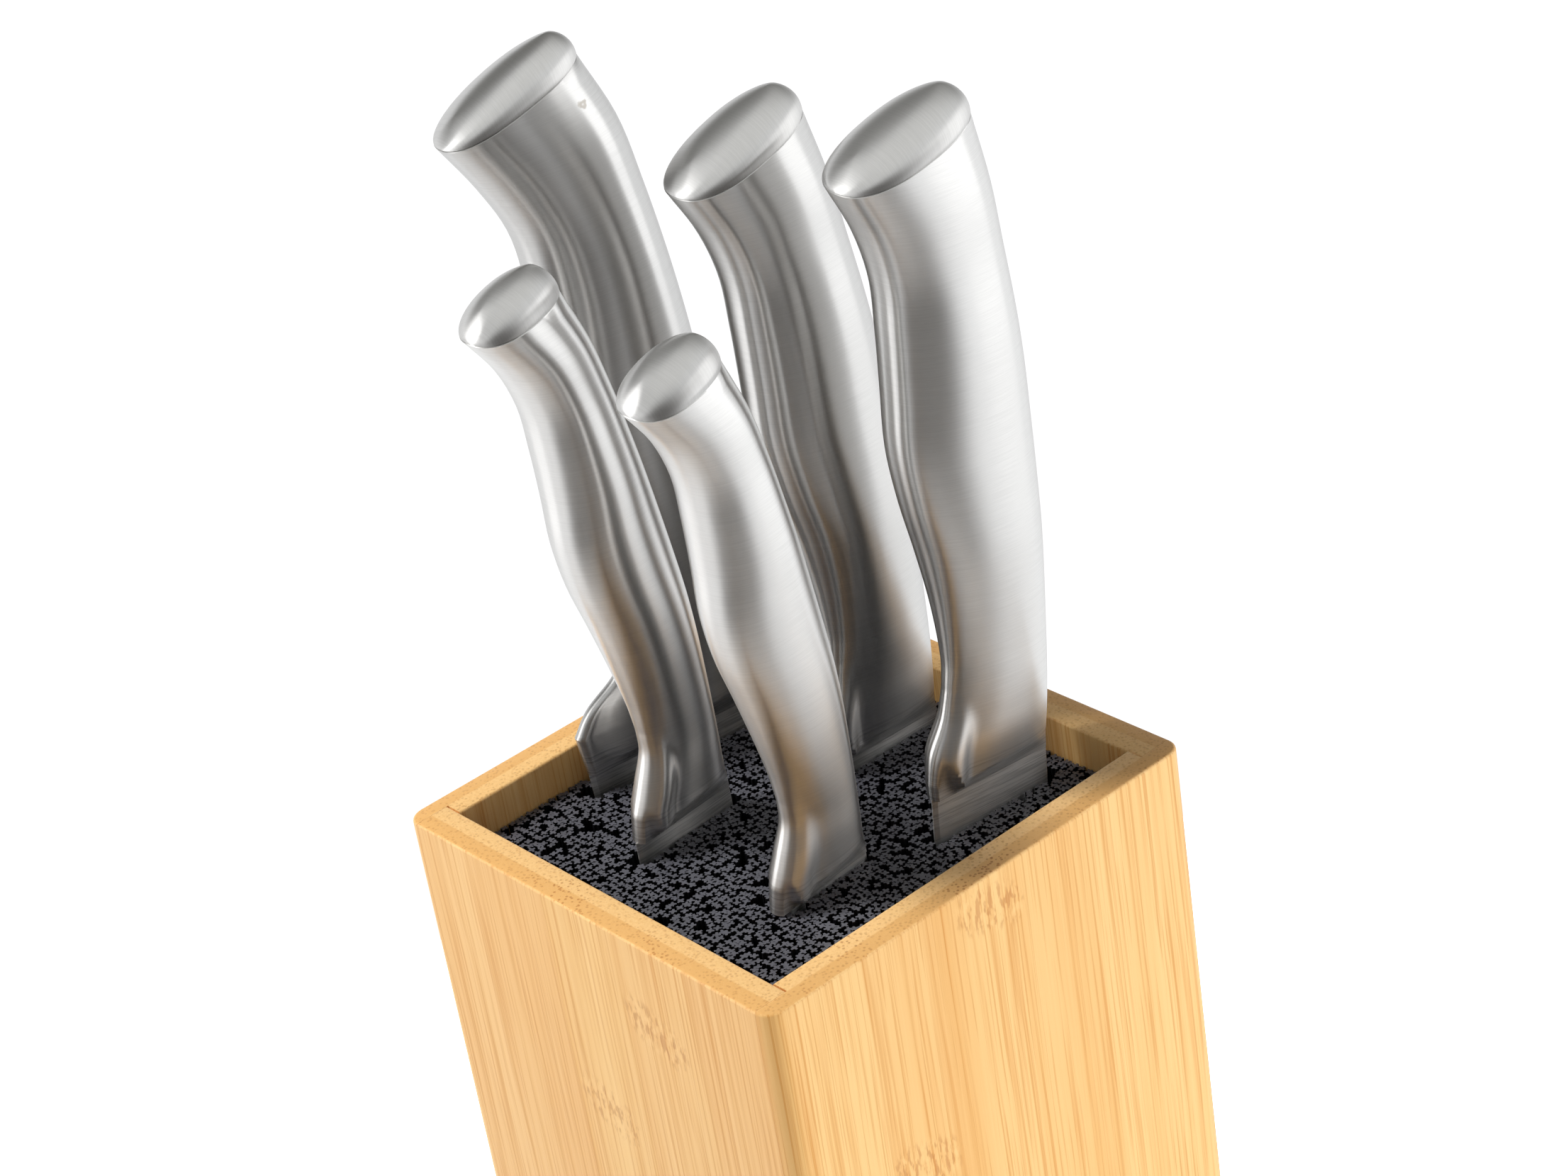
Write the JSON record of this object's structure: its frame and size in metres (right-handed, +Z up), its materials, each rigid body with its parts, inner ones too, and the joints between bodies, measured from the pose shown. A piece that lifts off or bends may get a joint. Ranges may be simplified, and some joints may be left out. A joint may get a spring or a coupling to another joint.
{
  "type": "knife block with knives",
  "caption": "Square bamboo knife block filled with flexible black rods, holding kitchen knives with hollow brushed-steel handles.",
  "frame": {"origin": "on the surface the feet stand on, under the middle of the block", "axes": "+Z up along the block; -Y is the side the cutting edges face; the blades stand in planes close to YZ"},
  "size_m": [0.1005, 0.1, 0.3588],
  "materials": {
    "bamboo": "satin lacquered bamboo, laminated strips",
    "rod_plastic": "matte black plastic rods",
    "foot_rubber": "matte rubber",
    "handle_steel": "satin brushed stainless steel",
    "blade_steel": "ground stainless steel"
  },
  "bodies": {
    "block": {"wall_front": "bamboo", "wall_back": "bamboo", "wall_left": "bamboo", "wall_right": "bamboo", "base_board": "bamboo", "foot_front_left": "foot_rubber", "foot_front_right": "foot_rubber", "foot_back_left": "foot_rubber", "foot_back_right": "foot_rubber"},
    "rod_insert": {"rod_plate": "rod_plastic", "rod_bundle": "rod_plastic"},
    "chef_knife": {"chef_blade": "blade_steel", "chef_bolster": "handle_steel", "chef_handle_left": "handle_steel", "chef_handle_right": "handle_steel", "chef_end_cap": "handle_steel"},
    "bread_knife": {"bread_blade": "blade_steel", "bread_bolster": "handle_steel", "bread_handle_left": "handle_steel", "bread_handle_right": "handle_steel", "bread_end_cap": "handle_steel"},
    "carving_knife": {"carving_blade": "blade_steel", "carving_bolster": "handle_steel", "carving_handle_left": "handle_steel", "carving_handle_right": "handle_steel", "carving_end_cap": "handle_steel"},
    "utility_knife": {"utility_blade": "blade_steel", "utility_bolster": "handle_steel", "utility_handle_left": "handle_steel", "utility_handle_right": "handle_steel", "utility_end_cap": "handle_steel"},
    "paring_knife": {"paring_blade": "blade_steel", "paring_bolster": "handle_steel", "paring_handle_left": "handle_steel", "paring_handle_right": "handle_steel", "paring_end_cap": "handle_steel"}
  },
  "joints": [
    {"name": "insert_lift", "type": "slide", "parent": "block", "child": "rod_insert", "axis": [0, 0, 1], "range_m": [0, 0.23]},
    {"name": "chef_pull", "type": "slide", "parent": "rod_insert", "child": "chef_knife", "axis": [-0.0507, -0.031, 0.9982], "range_m": [0, 0.21]},
    {"name": "bread_pull", "type": "slide", "parent": "rod_insert", "child": "bread_knife", "axis": [-0.0007, -0.0139, 0.9999], "range_m": [0, 0.205]},
    {"name": "carving_pull", "type": "slide", "parent": "rod_insert", "child": "carving_knife", "axis": [0.0322, 0.0454, 0.9985], "range_m": [0, 0.21]},
    {"name": "utility_pull", "type": "slide", "parent": "rod_insert", "child": "utility_knife", "axis": [0.0003, -0.0297, 0.9996], "range_m": [0, 0.14]},
    {"name": "paring_pull", "type": "slide", "parent": "rod_insert", "child": "paring_knife", "axis": [0.043, -0.0407, 0.9982], "range_m": [0, 0.1]}
  ]
}
